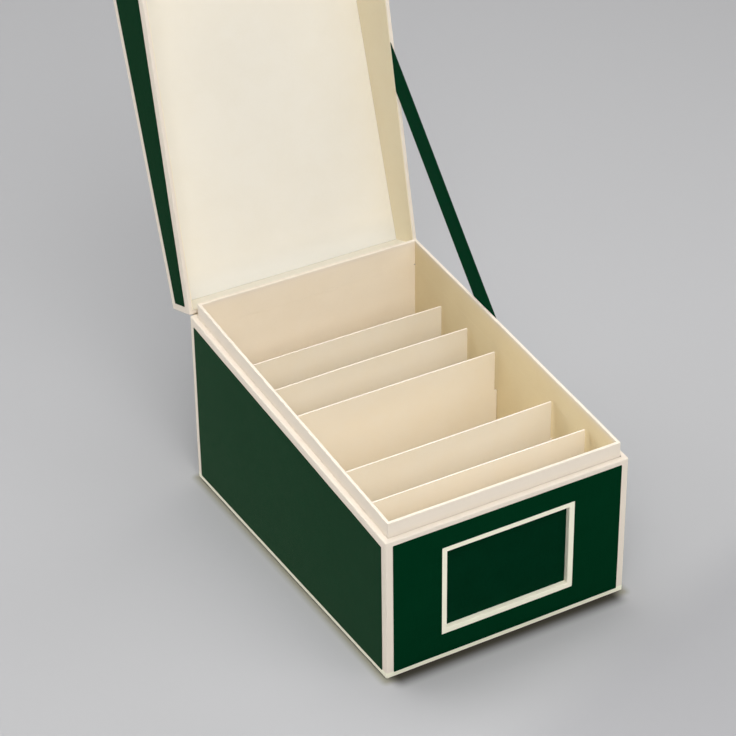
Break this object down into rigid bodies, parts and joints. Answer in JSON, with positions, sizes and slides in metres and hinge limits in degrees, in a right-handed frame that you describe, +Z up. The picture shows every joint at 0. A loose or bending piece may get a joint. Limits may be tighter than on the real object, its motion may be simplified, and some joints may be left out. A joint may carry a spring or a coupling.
{
  "type": "photo storage box",
  "caption": "Covered board box for standing photo prints, with a raised neck, a sloping rim, a hinged wedge lid on a ribbon stay, divider cards and a label window.",
  "frame": {"origin": "middle of the underside, on the surface that the box stands on", "axes": "+Z up, -Y towards the label and the front, +X to the right of someone facing the label"},
  "size_m": [0.1788, 0.3632, 0.3852],
  "materials": {
    "grey_board": "raw grey board, hidden under paper",
    "cream_paper": "matt cream covering paper with a fine tooth",
    "green_cloth": "dark green bookcloth, fine weave, matt",
    "ribbon": "dark green grosgrain ribbon",
    "divider_board": "smooth cream card",
    "label_card": "dark green card, bare"
  },
  "bodies": {
    "box": {"base_floor_board": "grey_board", "base_front_board": "grey_board", "base_rear_board": "grey_board", "base_left_board": "grey_board", "base_right_board": "grey_board", "neck_front_board": "grey_board", "neck_rear_board": "grey_board", "neck_left_board": "grey_board", "neck_right_board": "grey_board", "base_wrap": "cream_paper", "neck_wrap": "cream_paper", "wall_lining": "cream_paper", "floor_lining": "cream_paper", "hinge_cloth_base": "cream_paper", "base_bottom_sheet": "green_cloth", "base_front_panel": "green_cloth", "base_rear_panel": "green_cloth", "base_left_panel": "green_cloth", "base_right_panel": "green_cloth", "ribbon_base_tail": "ribbon", "ribbon_span": "ribbon"},
    "lid": {"lid_top_board": "grey_board", "lid_front_board": "grey_board", "lid_rear_board": "grey_board", "lid_left_board": "grey_board", "lid_right_board": "grey_board", "lid_wrap": "cream_paper", "lid_top_lining": "cream_paper", "lid_wall_lining": "cream_paper", "lid_top_panel": "green_cloth", "lid_front_panel": "green_cloth", "lid_rear_panel": "green_cloth", "lid_left_panel": "green_cloth", "lid_right_panel": "green_cloth", "hinge_cloth_lid": "cream_paper", "ribbon_lid_tail": "ribbon"},
    "label": {"label_card": "label_card"},
    "divider_1": {"divider_1": "divider_board"},
    "divider_2": {"divider_2": "divider_board"},
    "divider_3": {"divider_3": "divider_board"},
    "divider_4": {"divider_4": "divider_board"},
    "divider_5": {"divider_5": "divider_board"}
  },
  "joints": [
    {"name": "lid_hinge", "type": "hinge", "parent": "box", "child": "lid", "pos_m": [0, 0.129, 0.1319], "axis": [-1, 0, 0], "range_deg": [-107.8, 0], "deforming": ["ribbon_span"]},
    {"name": "label_slide", "type": "slide", "parent": "box", "child": "label", "axis": [0, 0, 1], "range_m": [0, 0.103]},
    {"name": "divider_1_lift", "type": "slide", "parent": "box", "child": "divider_1", "axis": [0, 0, 1], "range_m": [0, 0.134]},
    {"name": "divider_2_lift", "type": "slide", "parent": "box", "child": "divider_2", "axis": [0, 0, 1], "range_m": [0, 0.131]},
    {"name": "divider_3_lift", "type": "slide", "parent": "box", "child": "divider_3", "axis": [0, 0, 1], "range_m": [0, 0.127]},
    {"name": "divider_4_lift", "type": "slide", "parent": "box", "child": "divider_4", "axis": [0, 0, 1], "range_m": [0, 0.12]},
    {"name": "divider_5_lift", "type": "slide", "parent": "box", "child": "divider_5", "axis": [0, 0, 1], "range_m": [0, 0.117]}
  ]
}
